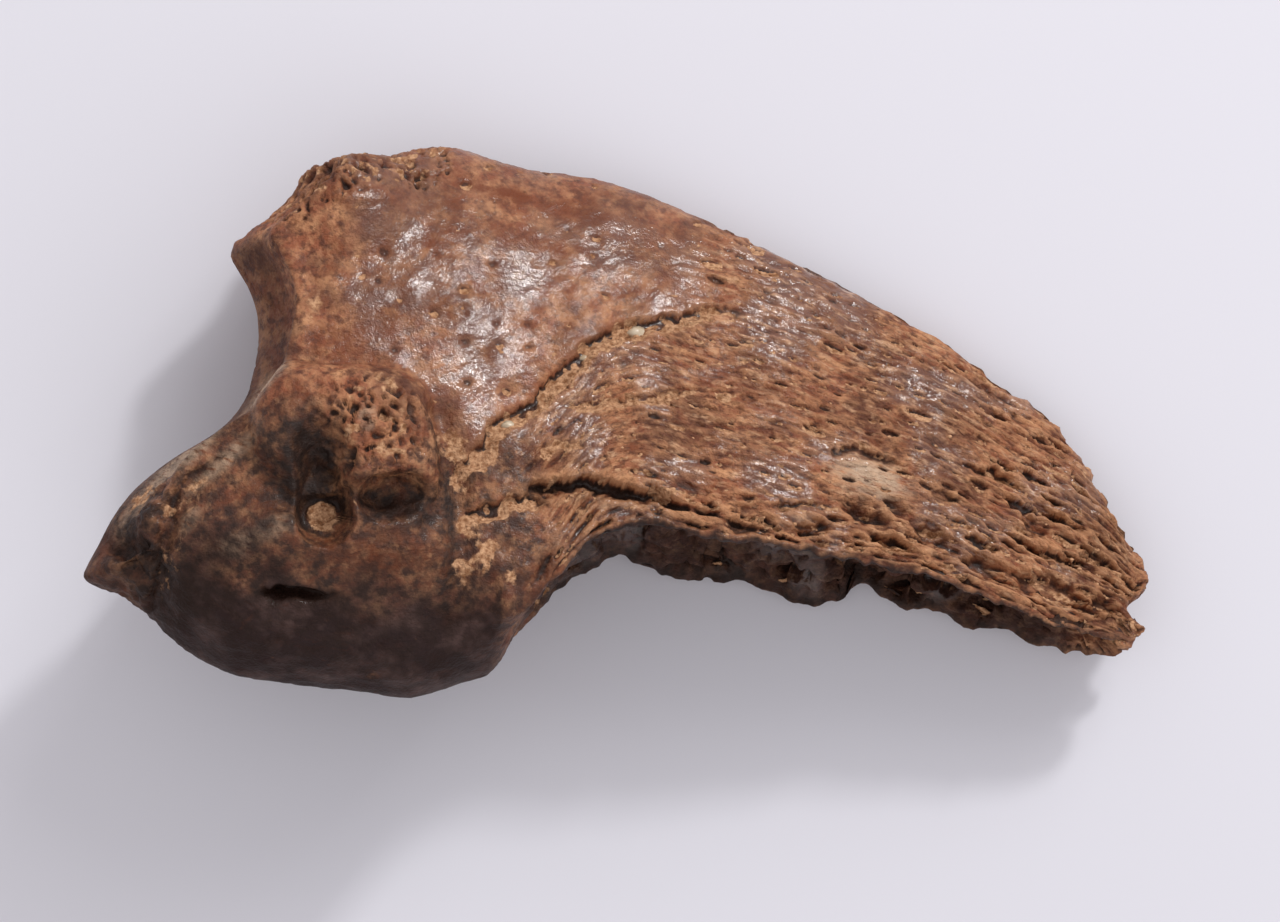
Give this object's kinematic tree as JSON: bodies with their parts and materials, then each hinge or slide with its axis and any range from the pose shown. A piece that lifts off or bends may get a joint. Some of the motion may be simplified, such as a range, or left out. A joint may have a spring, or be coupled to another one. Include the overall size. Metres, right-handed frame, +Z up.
{
  "type": "fossil bear claw bone",
  "caption": "Curved fossil bone core of a cave bear's claw, lying on its side: blunt joint and tubercle at the root, pitted blade to a worn tip.",
  "frame": {"origin": "middle of the footprint's box, on the surface that the bone lies on", "axes": "+X from the joint to the tip, +Y towards the back of the claw, +Z up through the side that shows"},
  "size_m": [0.0602, 0.0312, 0.0182],
  "materials": {
    "fossil_bone": "worn brown mineralised bone, satin where the outer layer is kept, chalky and pitted elsewhere",
    "cave_sediment": "pale sandy cave clay, matt"
  },
  "bodies": {
    "root": {"claw_bone": "fossil_bone"}
  },
  "joints": []
}
